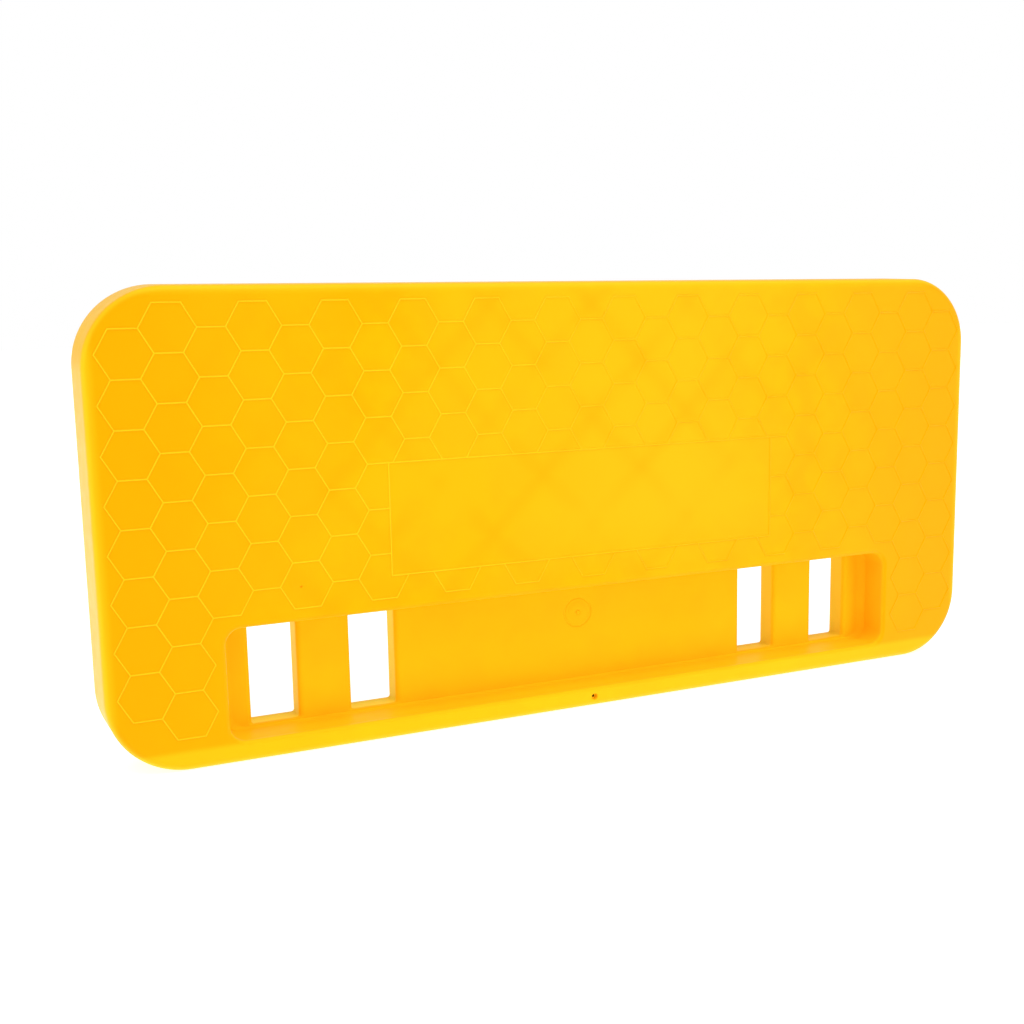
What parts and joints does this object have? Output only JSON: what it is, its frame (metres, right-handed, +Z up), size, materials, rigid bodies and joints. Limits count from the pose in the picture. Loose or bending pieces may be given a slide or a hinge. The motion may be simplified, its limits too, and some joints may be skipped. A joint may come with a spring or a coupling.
{
  "type": "crowd control barrier panel",
  "caption": "Yellow moulded barrier panel with a honeycomb face, a plain label rectangle, and slots through a sunk trough for straps or rails.",
  "frame": {"origin": "on the ground, under the middle of the panel's width and depth", "axes": "+X along the panel to the right as seen from the front, +Y from the honeycomb face to the back, +Z up"},
  "size_m": [0.5616, 0.036, 0.2521],
  "materials": {
    "front_plastic": "satin yellow moulded plastic, slightly translucent",
    "rear_plastic": "satin yellow moulded plastic, slightly translucent",
    "screw_steel": "zinc-plated steel"
  },
  "bodies": {
    "root": {"front_shell": "front_plastic", "rear_shell": "rear_plastic", "screw_01": "screw_steel", "screw_02": "screw_steel", "screw_03": "screw_steel", "screw_04": "screw_steel", "screw_05": "screw_steel", "screw_06": "screw_steel", "screw_07": "screw_steel", "screw_08": "screw_steel", "screw_09": "screw_steel", "screw_10": "screw_steel"}
  },
  "joints": []
}
